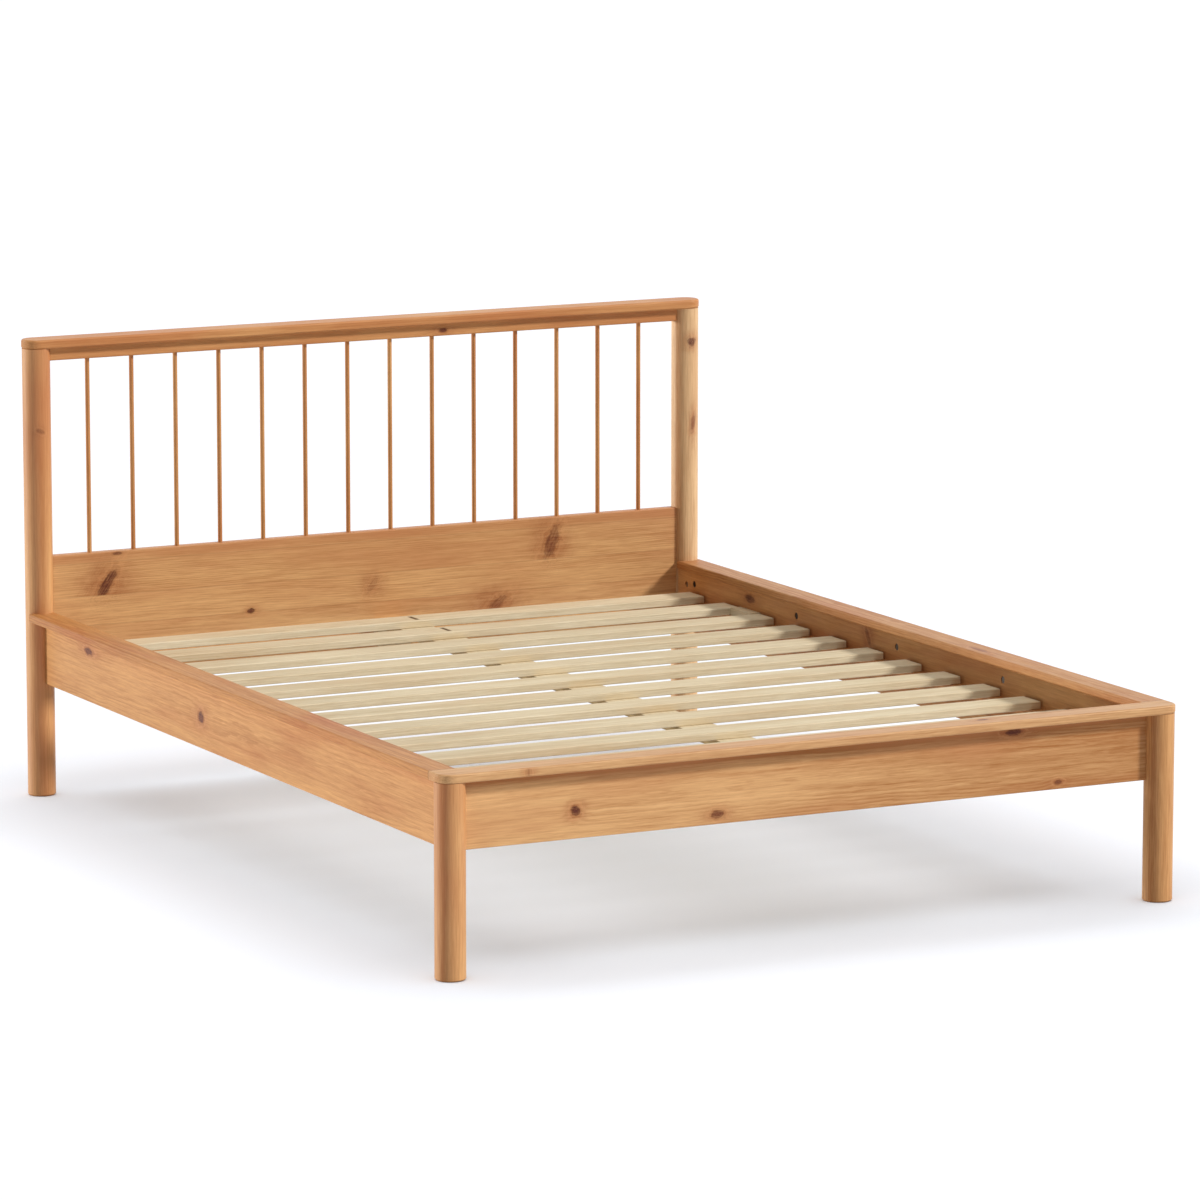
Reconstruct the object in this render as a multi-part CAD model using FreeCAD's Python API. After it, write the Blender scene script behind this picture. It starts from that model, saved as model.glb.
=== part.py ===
import FreeCAD, Part

import math
import os

# A spindle bed in solid pine.  Millimetres, +Z up, +X to the right of someone standing at the foot,
# +Y towards the headboard.  The origin is on the floor under the middle of the bed.

# ---------------------------------------------------------------- driving dimensions
# plan of the four round posts
post_spacing_x = 1582.0        # between post axes, across the bed
post_spacing_y = 2042.0        # from the foot leg axes to the head post axes
post_d = 61.0
foot_chamfer = 3.0             # broken edge round the foot of each post

# side rails and foot rail; their outer faces pass through the post axes
rail_bottom = 248.0            # height above the floor
rail_h = 136.5
rail_t = 25.0
rail_arris = 3.0               # rounding along the lower edges

# flat caps on the side rails and the foot rail
cap_w = 59.5
cap_t = 18.0
cap_round = 4.0                # rounding of the cap edges
cap_over = 1.0                 # a cap stands this far outside the posts
side_cap_back_gap = 4.0        # side cap end to the face of the head panel

# headboard
panel_bottom = 248.0
panel_top = 525.0
panel_t = 25.0
panel_arris = 3.0
tongue_t = 12.0                # tongue on each end of the panel
tongue_in = 14.0               # how far it reaches into the post
tongue_shoulder = 8.0          # the tongue stops this short of the panel's top and bottom
head_rail_bottom = 951.5
head_rail_h = 28.0
head_rail_t = 28.0
head_rail_arris = 3.0
head_tenon_t = 12.0            # tenon on each end of the narrow rail
head_tenon_h = 16.0
head_tenon_in = 18.0
head_cap_t = 20.0
head_cap_round = 5.0           # along the top
head_cap_easing = 3.0          # flat easing along the underside

# spindles
spindle_count = 14
spindle_pitch = 103.4
spindle_d = 10.0
spindle_in_panel = 15.0        # length of spindle let into the panel
spindle_in_rail = 14.0         # and into the rail above

# slats and what carries them
slat_count = 12
slat_head_gap = 71.0           # head panel to the first slat
slat_foot_gap = 58.5           # foot rail to the last slat
slat_w = 71.0
slat_t = 16.0
slat_easing = 1.5              # flat easing along the edges of slats and board
slat_end_gap = 6.0             # slat end to the inner face of the side rail
slat_top = 341.5               # height above the floor
ledger_w = 30.0
ledger_h = 40.0
ledger_end_gap = 5.0           # ledger end past the edge of the last slat
kerf_x = 50.5                  # short saw kerf in the two slats next to the headboard
kerf_length = 44.0
kerf_w = 3.0
kerf_depth = 4.0
kerf_slats = (1, 2)
spacer_w = 27.0                # block that keeps two slats apart at the right-hand rail
spacer_proud = 1.0             # its top above the slats
spacer_after = 2               # it lies between this slat and the next

# centre board, which lies a little to the right of the middle
board_x = 43.0
board_w = 80.0
board_t = 16.0
cleat_h = 40.0
cleat_d = 25.0

# fastenings
pin_d = 6.0                    # pins that locate the slats on the ledgers
pin_in_ledger = 14.0
pin_in_slat = 9.0
pin_from_slat_end = 10.5
dowel_d = 8.0                  # dowels under the head cap
dowel_in_cap = 13.0
dowel_in_rail = 11.0
dowel_step = 4                 # in spindle pitches
post_dowel_d = 12.0
post_dowel_in_post = 25.0
cam_d = 15.0                   # cam fittings that pull the caps down on the rails
cam_bore_depth = 12.5
cam_recess = 1.5
cam_drop = 24.5                # cam centre below the cap
cam_from_post = 96.0           # end cams of the side rails to the post axes
cam_step = 446.0               # from the middle cam to the next ones
foot_cam_from_post = 191.0     # end cams of the foot rail to the leg axes
stud_d = 6.0
stud_in_cap = 11.0
bolt_d = 8.0                   # bolts that draw the rails up to the posts
bolt_in_post = 20.0
bolt_past_nut = 4.0
nut_d = 14.0
nut_l = 18.0
nut_from_axis = 58.0           # cross nut to post axis
side_bolt_low = 35.0           # lower bolts above the rail's lower edge
side_bolt_high = 107.0         # upper bolts, from the same edge
foot_bolt_stagger = -16.0      # keeps the foot rail's bolts clear of the side rails' bolts
hidden_flat_count = 6          # dowels, pins, bolts and studs are out of sight, so they are prisms
fitting_flat_count = 10        # spindle seats, cams and cross nuts are rounder prisms

# clearances
fit = 0.1                      # round each pin, dowel, tongue, tenon, spindle, bolt, cam and nut
cope_fit = 0.2                 # between a post and what is scribed to it
blind = 0.5                    # spare depth at the bottom of each blind hole
past = 1.0                     # each cutter starts this far outside the wood

# ---------------------------------------------------------------- worked-out places
post_r = post_d / 2
half_x = post_spacing_x / 2
half_y = post_spacing_y / 2
rail_top = rail_bottom + rail_h
rail_in_x = half_x - rail_t            # inner face of the side rails
rail_in_y = -half_y + rail_t           # inner face of the foot rail
cap_top = rail_top + cap_t
cap_out = post_r + cap_over            # outer edge of each cap, from the post axes
cap_in = cap_w - cap_out               # inner edge of the low caps, from the post axes
foot_cap_in_y = -half_y + cap_in
panel_front = half_y - panel_t / 2
head_rail_top = head_rail_bottom + head_rail_h
head_cap_top = head_rail_top + head_cap_t
slat_bottom = slat_top - slat_t
slat_half = rail_in_x - slat_end_gap
board_bottom = slat_bottom - board_t
cleat_bottom = board_bottom - cleat_h
first_slat_y = panel_front - slat_head_gap - slat_w / 2
last_slat_y = rail_in_y + slat_foot_gap + slat_w / 2
slat_pitch = (first_slat_y - last_slat_y) / (slat_count - 1)
cam_z = rail_top - cam_drop
cam_middle = (cam_recess + cam_bore_depth) / 2           # middle of a cam, from the rail's face
side_bolt_z = [rail_bottom + side_bolt_low, rail_bottom + side_bolt_high]
foot_bolt_z = [z + foot_bolt_stagger for z in side_bolt_z]
bolt_line = half_x - rail_t / 2        # side rail bolts run along the middle of the rail
foot_bolt_line = -half_y + rail_t / 2
post_face = math.sqrt(post_r ** 2 - (rail_t / 2) ** 2)   # post surface at a bolt, from its axis

X = FreeCAD.Vector(1, 0, 0)
Y = FreeCAD.Vector(0, 1, 0)
Z = FreeCAD.Vector(0, 0, 1)


# ---------------------------------------------------------------- small shape helpers
def block(x0, x1, y0, y1, z0, z1):
    """A box between two values on each axis, given in either order."""
    low = FreeCAD.Vector(min(x0, x1), min(y0, y1), min(z0, z1))
    return Part.makeBox(abs(x1 - x0), abs(y1 - y0), abs(z1 - z0), low)


def rod(diameter, x, y, z, direction, length):
    """A round bar from a point along a direction."""
    return Part.makeCylinder(diameter / 2, length, FreeCAD.Vector(x, y, z), direction)


def prism(flats, diameter, x, y, z, direction, length):
    """A bar with this many flats from a point along X, Y or Z; the diameter is across the flats."""
    corner = diameter / 2 / math.cos(math.pi / flats)
    first = Y if abs(direction.x) > 0.5 else X
    second = Y if abs(direction.z) > 0.5 else Z
    start = FreeCAD.Vector(x, y, z)
    points = []
    for index in range(flats):
        turn = (index + 0.5) * 2 * math.pi / flats
        points.append(start + first * (corner * math.cos(turn)) + second * (corner * math.sin(turn)))
    return Part.Face(Part.makePolygon(points + points[:1])).extrude(direction * length)


def peg(diameter, x, y, z, direction, length):
    """A dowel, pin, bolt or stud that is out of sight, or the hole for one."""
    return prism(hidden_flat_count, diameter, x, y, z, direction, length)


def bar_section(low, high, z0, z1, radii, place, flat):
    """A rectangle with its own corner easings: low-bottom, high-bottom, high-top, low-top."""
    limit = 0.49 * min(high - low, z1 - z0)
    corners = [(low, z0, 1, 1), (high, z0, -1, 1), (high, z1, -1, -1), (low, z1, 1, -1)]
    edges = []
    ends = []
    for (u, z, su, sz), radius in zip(corners, radii):
        r = min(radius, limit)
        along = place(u + su * r, z)
        up = place(u, z + sz * r)
        first, last = (up, along) if su == sz else (along, up)
        if r == 0:
            edges.append([])
        elif flat:
            edges.append([Part.LineSegment(first, last).toShape()])
        else:
            middle = place(u + su * r * (1 - math.sqrt(0.5)), z + sz * r * (1 - math.sqrt(0.5)))
            edges.append([Part.Arc(first, middle, last).toShape()])
        ends.append((first, last))
    wire = []
    for index in range(4):
        wire += edges[index]
        start = ends[index][1]
        stop = ends[(index + 1) % 4][0]
        wire.append(Part.LineSegment(start, stop).toShape())
    return Part.Face(Part.Wire(wire))


def bar_along_y(x0, x1, z0, z1, radii, y0, y1, flat=False):
    """A bar along Y whose long edges are rounded, or eased flat."""
    face = bar_section(x0, x1, z0, z1, radii, lambda u, z: FreeCAD.Vector(u, y0, z), flat)
    return face.extrude(Y * (y1 - y0))


def bar_along_x(y0, y1, z0, z1, radii, x0, x1, flat=False):
    """A bar along X whose long edges are rounded, or eased flat."""
    face = bar_section(y0, y1, z0, z1, radii, lambda u, z: FreeCAD.Vector(x0, u, z), flat)
    return face.extrude(X * (x1 - x0))


def mirror_x(shape):
    """The same piece on the other side of the bed."""
    return shape.mirror(FreeCAD.Vector(0, 0, 0), X)


def post_cutter(x, y):
    """What is scribed to a post is cut by this, over any height."""
    return rod(post_d + 2 * cope_fit, x, y, 0, Z, head_cap_top)


def level_edges(shape, z):
    """Edges that lie flat at a height."""
    return [edge for edge in shape.Edges
            if edge.BoundBox.ZLength < 0.001 and abs(edge.BoundBox.ZMin - z) < 0.001]


# ---------------------------------------------------------------- posts and legs
def turned_post(height):
    """A round post on the Z axis with a broken lower edge."""
    r = post_r
    c = foot_chamfer
    outline = [(0, 0), (r - c, 0), (r, c), (r, height), (0, height), (0, 0)]
    points = [FreeCAD.Vector(x, 0, z) for x, z in outline]
    face = Part.Face(Part.makePolygon(points))
    return face.revolve(FreeCAD.Vector(0, 0, 0), Z, 360)


def side_bolt_holes(end):
    """Holes in a right-hand post for the side rail's bolts; end is 1 at the head, -1 at the foot."""
    start = end * (half_y - post_face - past)
    length = bolt_in_post + blind + past
    return [peg(bolt_d + 2 * fit, bolt_line, start, z, Y * end, length) for z in side_bolt_z]


def post_dowel_hole(y, top):
    """Hole in the top of a right-hand post for the dowel of its cap."""
    depth = post_dowel_in_post + blind
    return peg(post_dowel_d + 2 * fit, half_x, y, top - depth, Z, depth + past)


def head_post():
    """Right-hand head post: groove for the panel, mortise for the narrow rail, bolt and dowel holes."""
    post = turned_post(head_rail_top)
    post.translate(FreeCAD.Vector(half_x, half_y, 0))
    face_x = half_x - post_r
    groove = block(face_x - past, face_x + tongue_in + blind,
                   half_y - tongue_t / 2 - fit, half_y + tongue_t / 2 + fit,
                   panel_bottom + tongue_shoulder - fit, panel_top - tongue_shoulder + fit)
    tenon_z = head_rail_bottom + head_rail_h / 2
    mortise = block(face_x - past, face_x + head_tenon_in + blind,
                    half_y - head_tenon_t / 2 - fit, half_y + head_tenon_t / 2 + fit,
                    tenon_z - head_tenon_h / 2 - fit, tenon_z + head_tenon_h / 2 + fit)
    return post.cut([groove, mortise, post_dowel_hole(half_y, head_rail_top)] + side_bolt_holes(1))


def foot_leg():
    """Right-hand foot leg, bored for the bolts of both rails and the dowel under the cap."""
    leg = turned_post(rail_top)
    leg.translate(FreeCAD.Vector(half_x, -half_y, 0))
    holes = side_bolt_holes(-1) + [post_dowel_hole(-half_y, rail_top)]
    holes += [peg(bolt_d + 2 * fit, half_x - post_face - past, foot_bolt_line, z, X,
                  bolt_in_post + blind + past) for z in foot_bolt_z]
    return leg.cut(holes)


# ---------------------------------------------------------------- headboard
def spindle_places():
    """Distances of the spindles from the middle of the bed."""
    first = -(spindle_count - 1) * spindle_pitch / 2
    return [first + index * spindle_pitch for index in range(spindle_count)]


def rail_dowel_places():
    """The head cap's dowels stand midway between spindles."""
    reach = (spindle_count // 2 - 1) // dowel_step * dowel_step
    first = 0 if spindle_count % 2 == 0 else spindle_pitch / 2
    return [first + index * spindle_pitch for index in range(-reach, reach + 1, dowel_step)]


def spindle(x):
    low = panel_top - spindle_in_panel
    high = head_rail_bottom + spindle_in_rail
    return rod(spindle_d, x, half_y, low, Z, high - low)


def between_head_posts(radii, low, high, z0, z1, tenon_t, tenon_z0, tenon_z1, tenon_in):
    """A board scribed to both head posts, with a tongue or tenon on each end."""
    board = bar_along_x(low, high, z0, z1, radii, -half_x, half_x)
    board = board.cut([post_cutter(half_x, half_y), post_cutter(-half_x, half_y)])
    board = board.common(block(-half_x + post_r / 2, half_x - post_r / 2, low, high, z0, z1))
    tip = half_x - post_r + tenon_in
    root = half_x - post_r - (high - low) / 2
    for side in (-1, 1):
        tenon = block(side * root, side * tip, half_y - tenon_t / 2, half_y + tenon_t / 2,
                      tenon_z0, tenon_z1)
        board = board.fuse(tenon)
    return board.removeSplitter()


def head_panel():
    """Lower board of the headboard, with seats for the spindles along its top."""
    radii = (panel_arris, panel_arris, panel_arris, panel_arris)
    board = between_head_posts(radii, half_y - panel_t / 2, half_y + panel_t / 2,
                               panel_bottom, panel_top, tongue_t,
                               panel_bottom + tongue_shoulder, panel_top - tongue_shoulder, tongue_in)
    depth = spindle_in_panel + blind
    seats = [prism(fitting_flat_count, spindle_d + 2 * fit, x, half_y, panel_top - depth, Z, depth + past)
             for x in spindle_places()]
    return board.cut(seats)


def head_rail():
    """Narrow rail under the head cap, with seats for the spindles along its underside."""
    radii = (head_rail_arris, head_rail_arris, 0, 0)
    middle = head_rail_bottom + head_rail_h / 2
    rail = between_head_posts(radii, half_y - head_rail_t / 2, half_y + head_rail_t / 2,
                              head_rail_bottom, head_rail_top, head_tenon_t,
                              middle - head_tenon_h / 2, middle + head_tenon_h / 2, head_tenon_in)
    depth = spindle_in_rail + blind
    holes = [prism(fitting_flat_count, spindle_d + 2 * fit, x, half_y, head_rail_bottom - past, Z,
                   depth + past)
             for x in spindle_places()]
    depth = dowel_in_rail + blind
    holes += [peg(dowel_d + 2 * fit, x, half_y, head_rail_top - depth, Z, depth + past)
              for x in rail_dowel_places()]
    return rail.cut(holes)


def head_cap():
    """Top of the headboard: a flat board whose ends are round about the post axes."""
    r = cap_out
    z = head_rail_top
    corners = [FreeCAD.Vector(-half_x, half_y - r, z), FreeCAD.Vector(half_x, half_y - r, z),
               FreeCAD.Vector(half_x, half_y + r, z), FreeCAD.Vector(-half_x, half_y + r, z)]
    right = Part.Arc(corners[1], FreeCAD.Vector(half_x + r, half_y, z), corners[2])
    left = Part.Arc(corners[3], FreeCAD.Vector(-half_x - r, half_y, z), corners[0])
    front = Part.LineSegment(corners[0], corners[1])
    back = Part.LineSegment(corners[2], corners[3])
    outline = Part.Wire([front.toShape(), right.toShape(), back.toShape(), left.toShape()])
    cap = Part.Face(outline).extrude(Z * head_cap_t)
    cap = cap.makeFillet(min(head_cap_round, 0.45 * head_cap_t), level_edges(cap, head_cap_top))
    cap = cap.makeChamfer(min(head_cap_easing, 0.45 * head_cap_t), level_edges(cap, z))
    depth = dowel_in_cap + blind
    holes = [peg(dowel_d + 2 * fit, x, half_y, z - past, Z, depth + past)
             for x in rail_dowel_places()]
    holes += [peg(post_dowel_d + 2 * fit, x, half_y, z - past, Z, depth + past)
              for x in (-half_x, half_x)]
    return cap.cut(holes)


def post_dowels(y, top):
    """The dowels that stand in the tops of a pair of posts."""
    length = dowel_in_cap + post_dowel_in_post
    return [peg(post_dowel_d, side * half_x, y, top - post_dowel_in_post, Z, length)
            for side in (-1, 1)]


def cap_dowels():
    """Dowels that hold the head cap and the foot cap."""
    low = head_rail_top - dowel_in_rail
    dowels = [peg(dowel_d, x, half_y, low, Z, dowel_in_rail + dowel_in_cap)
              for x in rail_dowel_places()]
    return dowels + post_dowels(half_y, head_rail_top) + post_dowels(-half_y, rail_top)


# ---------------------------------------------------------------- rails and their fittings
def cam_fittings_side():
    """Places of the right-hand side rail's cams: x and y of the face, and the way into the wood."""
    end = half_y - cam_from_post
    return [(rail_in_x, y, X) for y in (-end, -cam_step, 0, cam_step, end)]


def cam_fittings_foot():
    """Places of the foot rail's cams."""
    end = half_x - foot_cam_from_post
    return [(x, rail_in_y, Y * -1) for x in (-end, 0, end)]


def stud_line(place):
    """Where a stud stands: over the middle of its cam."""
    x, y, inward = place
    return x + inward.x * cam_middle, y + inward.y * cam_middle


def cam_bore(place):
    """Bore for a cam, with the stud's hole from the rail's top down into it."""
    x, y, inward = place
    bore = prism(fitting_flat_count, cam_d, x, y, cam_z, inward, cam_bore_depth)
    stud_x, stud_y = stud_line(place)
    return bore.fuse(peg(stud_d + 2 * fit, stud_x, stud_y, cam_z, Z, cam_drop + past))


def cam(place):
    """A cam, open at the top for the end of its stud."""
    x, y, inward = place
    body = prism(fitting_flat_count, cam_d - 2 * fit, x + inward.x * cam_recess, y + inward.y * cam_recess,
                 cam_z, inward, cam_bore_depth - cam_recess)
    stud_x, stud_y = stud_line(place)
    return body.cut(peg(stud_d + 2 * fit, stud_x, stud_y, cam_z, Z, cam_d))


def stud(place):
    """The stud screwed up into a cap, with its end in the cam."""
    x, y = stud_line(place)
    return peg(stud_d, x, y, cam_z + blind, Z, cam_drop - blind + stud_in_cap)


def stud_hole(place):
    """The hole in a cap for that stud."""
    x, y = stud_line(place)
    return peg(stud_d + 2 * fit, x, y, rail_top - past, Z, stud_in_cap + blind + past)


def bolt_holes(x, y, z, way, inward):
    """What one bolt and its cross nut take out of a rail; x and y are on the rail's inner face."""
    centre = FreeCAD.Vector(x, y, z) + inward * (rail_t / 2)
    start = centre - way * (nut_from_axis - post_face + past)
    length = past + nut_from_axis - post_face + bolt_past_nut + blind + nut_d / 2
    nut_bore = prism(fitting_flat_count, nut_d + 2 * fit, x, y, z, inward, (rail_t + nut_l) / 2 + blind)
    return [nut_bore, peg(bolt_d + 2 * fit, start.x, start.y, z, way, length)]


def side_rail():
    """Right-hand side rail, scribed to the post at each end and bored for its fittings."""
    radii = (rail_arris, rail_arris, 0, 0)
    rail = bar_along_y(rail_in_x, half_x, rail_bottom, rail_top, radii, -half_y, half_y)
    cuts = [post_cutter(half_x, half_y), post_cutter(half_x, -half_y)]
    cuts += [cam_bore(place) for place in cam_fittings_side()]
    for end in (-1, 1):
        for z in side_bolt_z:
            cuts += bolt_holes(rail_in_x, end * (half_y - nut_from_axis), z, Y * -end, X)
    return rail.cut(cuts)


def foot_rail():
    """Foot rail between the side rails, scribed to the legs and bored for its fittings."""
    radii = (rail_arris, rail_arris, 0, 0)
    rail = bar_along_x(-half_y, rail_in_y, rail_bottom, rail_top, radii, -rail_in_x, rail_in_x)
    cuts = [post_cutter(half_x, -half_y), post_cutter(-half_x, -half_y)]
    cuts += [cam_bore(place) for place in cam_fittings_foot()]
    for side in (-1, 1):
        for z in foot_bolt_z:
            cuts += bolt_holes(side * (half_x - nut_from_axis), rail_in_y, z, X * -side, Y * -1)
    return rail.cut(cuts)


def side_cap():
    """Right-hand cap: from the foot cap to the head post, notched round the post's front."""
    radii = (cap_round, cap_round, cap_round, cap_round)
    back = panel_front - side_cap_back_gap
    cap = bar_along_y(half_x - cap_in, half_x + cap_out, rail_top, cap_top, radii, foot_cap_in_y, back)
    return cap.cut([post_cutter(half_x, half_y)] + [stud_hole(place) for place in cam_fittings_side()])


def edge_waste(z, up):
    """What comes off the foot cap's inner edge between the side caps, at its top or bottom."""
    r = min(cap_round, 0.45 * cap_t)
    x = half_x - cap_in
    y = foot_cap_in_y
    square = block(-x, x, y - r, y + past, z - up * r, z + up * past)
    return square.cut(rod(2 * r, -x, y - r, z - up * r, X, 2 * x))


def foot_cap():
    """Cap across the foot, with corners that are round about the leg axes."""
    r = cap_out
    x = half_x + r
    y0 = -half_y - r
    y1 = foot_cap_in_y
    z = rail_top
    turn = r * math.sqrt(0.5)
    left = Part.Arc(FreeCAD.Vector(-x, -half_y, z),
                    FreeCAD.Vector(-half_x - turn, -half_y - turn, z),
                    FreeCAD.Vector(-half_x, y0, z))
    right = Part.Arc(FreeCAD.Vector(half_x, y0, z),
                     FreeCAD.Vector(half_x + turn, -half_y - turn, z),
                     FreeCAD.Vector(x, -half_y, z))
    sides = [Part.LineSegment(FreeCAD.Vector(-half_x, y0, z), FreeCAD.Vector(half_x, y0, z)),
             right,
             Part.LineSegment(FreeCAD.Vector(x, -half_y, z), FreeCAD.Vector(x, y1, z)),
             Part.LineSegment(FreeCAD.Vector(x, y1, z), FreeCAD.Vector(-x, y1, z)),
             Part.LineSegment(FreeCAD.Vector(-x, y1, z), FreeCAD.Vector(-x, -half_y, z)),
             left]
    outline = Part.Wire([side.toShape() for side in sides])
    cap = Part.Face(outline).extrude(Z * cap_t)
    rims = level_edges(cap, z) + level_edges(cap, cap_top)
    outer = [edge for edge in rims if edge.BoundBox.YMin < y1 - 0.01]
    cap = cap.makeFillet(min(cap_round, 0.45 * cap_t), outer)
    cuts = [edge_waste(cap_top, 1), edge_waste(z, -1)]
    cuts += [stud_hole(place) for place in cam_fittings_foot()]
    cuts += [peg(post_dowel_d + 2 * fit, side * half_x, -half_y, z - past, Z,
                 dowel_in_cap + blind + past)
             for side in (-1, 1)]
    return cap.cut(cuts)


def rail_bolts():
    """Bolts from the posts into the cross nuts of all three rails."""
    bolts = []
    length = bolt_in_post + nut_from_axis - post_face + bolt_past_nut + nut_d / 2
    inside = half_y - post_face + bolt_in_post
    for side in (-1, 1):
        for end in (-1, 1):
            bolts += [peg(bolt_d, side * bolt_line, end * inside, z, Y * -end, length)
                      for z in side_bolt_z]
        bolts += [peg(bolt_d, side * (half_x - post_face + bolt_in_post), foot_bolt_line, z,
                      X * -side, length) for z in foot_bolt_z]
    return bolts


def cross_nut(x, y, z, inward, way):
    """A nut across the bolt, with the bolt's hole through it; x and y are on the rail's inner face."""
    first = (rail_t - nut_l) / 2
    body = prism(fitting_flat_count, nut_d, x + inward.x * first, y + inward.y * first, z, inward, nut_l)
    start = FreeCAD.Vector(x, y, z) + inward * (rail_t / 2) - way * nut_d
    return body.cut(peg(bolt_d + 2 * fit, start.x, start.y, z, way, 2 * nut_d))


def cross_nuts():
    nuts = []
    for side in (-1, 1):
        for end in (-1, 1):
            nuts += [cross_nut(side * rail_in_x, end * (half_y - nut_from_axis), z, X * side, Y)
                     for z in side_bolt_z]
        nuts += [cross_nut(side * (half_x - nut_from_axis), rail_in_y, z, Y * -1, X)
                 for z in foot_bolt_z]
    return nuts


# ---------------------------------------------------------------- slats and what carries them
def slat_places():
    """Middle of each slat, from the headboard to the foot."""
    return [first_slat_y - index * slat_pitch for index in range(slat_count)]


def pin_x():
    return slat_half - pin_from_slat_end


def slat(number):
    """One slat, bored under each end; the first two have a short saw kerf across the top."""
    y = slat_places()[number - 1]
    radii = (slat_easing, slat_easing, slat_easing, slat_easing)
    bar = bar_along_x(y - slat_w / 2, y + slat_w / 2, slat_bottom, slat_top, radii,
                      -slat_half, slat_half, flat=True)
    cuts = [peg(pin_d + 2 * fit, side * pin_x(), y, slat_bottom - past, Z,
                pin_in_slat + blind + past)
            for side in (-1, 1)]
    if number in kerf_slats:
        cuts.append(block(kerf_x - kerf_w / 2, kerf_x + kerf_w / 2, y - kerf_length / 2,
                          y + kerf_length / 2, slat_top - kerf_depth, slat_top + past))
    return bar.cut(cuts)


def slat_spacer():
    """Loose block on the right-hand ledger that keeps two slats apart."""
    y = slat_places()[spacer_after - 1]
    y1 = y - slat_w / 2 - fit
    y0 = y - slat_pitch + slat_w / 2 + fit
    radii = (0, 0, slat_easing, slat_easing)
    return bar_along_y(rail_in_x - spacer_w, rail_in_x, slat_bottom, slat_top + spacer_proud,
                       radii, y0, y1, flat=True)


def slat_pins():
    length = pin_in_ledger + pin_in_slat
    low = slat_bottom - pin_in_ledger
    return [peg(pin_d, side * pin_x(), y, low, Z, length) for y in slat_places() for side in (-1, 1)]


def ledger():
    """Right-hand strip that carries the slat ends."""
    reach = slat_w / 2 + ledger_end_gap
    strip = block(rail_in_x - ledger_w, rail_in_x, last_slat_y - reach, first_slat_y + reach,
                  slat_bottom - ledger_h, slat_bottom)
    return strip.cut([peg(pin_d + 2 * fit, pin_x(), y, slat_bottom - pin_in_ledger - blind, Z,
                          pin_in_ledger + blind + past) for y in slat_places()])


def cleat(face_y, end):
    """Block that carries an end of the centre board; end is 1 at the headboard, -1 at the foot."""
    return block(board_x - board_w / 2, board_x + board_w / 2, face_y, face_y - end * cleat_d,
                 cleat_bottom, board_bottom)


def centre_board():
    """Flat board along the bed under the slats, resting on a cleat at each end."""
    radii = (slat_easing, slat_easing, 0, 0)
    return bar_along_y(board_x - board_w / 2, board_x + board_w / 2, board_bottom, slat_bottom,
                       radii, rail_in_y, panel_front, flat=True)


# ---------------------------------------------------------------- the assembly
def assembly():
    """Every node: its name and its solid, or its group of separate solids."""
    nodes = {}
    for name, right in (("head_post", head_post()), ("foot_leg", foot_leg()),
                        ("side_rail", side_rail()), ("side_cap", side_cap()),
                        ("ledger", ledger())):
        nodes[name + "_right"] = right
        nodes[name + "_left"] = mirror_x(right)
    nodes["head_cap"] = head_cap()
    nodes["head_rail"] = head_rail()
    nodes["head_panel"] = head_panel()
    for number, x in enumerate(spindle_places(), start=1):
        nodes["spindle_%02d" % number] = spindle(x)
    nodes["foot_rail"] = foot_rail()
    nodes["foot_cap"] = foot_cap()
    for number in range(1, slat_count + 1):
        nodes["slat_%02d" % number] = slat(number)
    nodes["slat_spacer"] = slat_spacer()
    nodes["centre_board"] = centre_board()
    nodes["centre_cleat_head"] = cleat(panel_front, 1)
    nodes["centre_cleat_foot"] = cleat(rail_in_y, -1)
    right_side = cam_fittings_side()
    foot = cam_fittings_foot()
    nodes["cap_cams"] = ([cam(place) for place in right_side + foot]
                         + [mirror_x(cam(place)) for place in right_side])
    nodes["cap_studs"] = ([stud(place) for place in right_side + foot]
                          + [mirror_x(stud(place)) for place in right_side])
    nodes["rail_bolts"] = rail_bolts()
    nodes["cross_nuts"] = cross_nuts()
    nodes["cap_dowels"] = cap_dowels()
    nodes["slat_pins"] = slat_pins()
    return nodes


def main():
    os.makedirs("parts", exist_ok=True)
    total = 0
    for name, piece in assembly().items():
        shape = Part.makeCompound(piece) if isinstance(piece, list) else piece
        if not shape.isValid():
            raise ValueError("not a valid shape: " + name)
        count = len(shape.Solids)
        total += count
        shape.exportStep(os.path.join("parts", name + ".step"))
        print("%-20s solids %3d  volume %10.0f mm3" % (name, count, shape.Volume))
    print("solids in all:", total)


main()
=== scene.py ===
import math
import random

import bpy
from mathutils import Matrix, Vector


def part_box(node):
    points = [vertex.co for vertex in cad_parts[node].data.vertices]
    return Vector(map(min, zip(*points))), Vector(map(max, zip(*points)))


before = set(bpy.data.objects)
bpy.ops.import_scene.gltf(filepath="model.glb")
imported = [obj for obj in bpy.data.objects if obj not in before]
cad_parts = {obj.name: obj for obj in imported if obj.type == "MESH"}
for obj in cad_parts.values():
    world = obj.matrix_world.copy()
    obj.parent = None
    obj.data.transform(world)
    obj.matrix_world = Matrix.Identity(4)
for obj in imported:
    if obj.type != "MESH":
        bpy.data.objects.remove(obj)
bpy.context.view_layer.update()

# A spindle bed in lacquered pine with pale, bare pine slats.  Metres, as the frame has them.


# ---------------------------------------------------------------- shader maths
def tone(red, green, blue):
    """A colour as a screen shows it, 0 to 255, turned into light."""
    def light(part):
        part = part / 255
        return part / 12.92 if part <= 0.04045 else ((part + 0.055) / 1.055) ** 2.4
    return (light(red), light(green), light(blue), 1.0)


def blend(first, second, amount):
    """A colour between two others."""
    return tuple(one + (other - one) * amount for one, other in zip(first, second))


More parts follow.
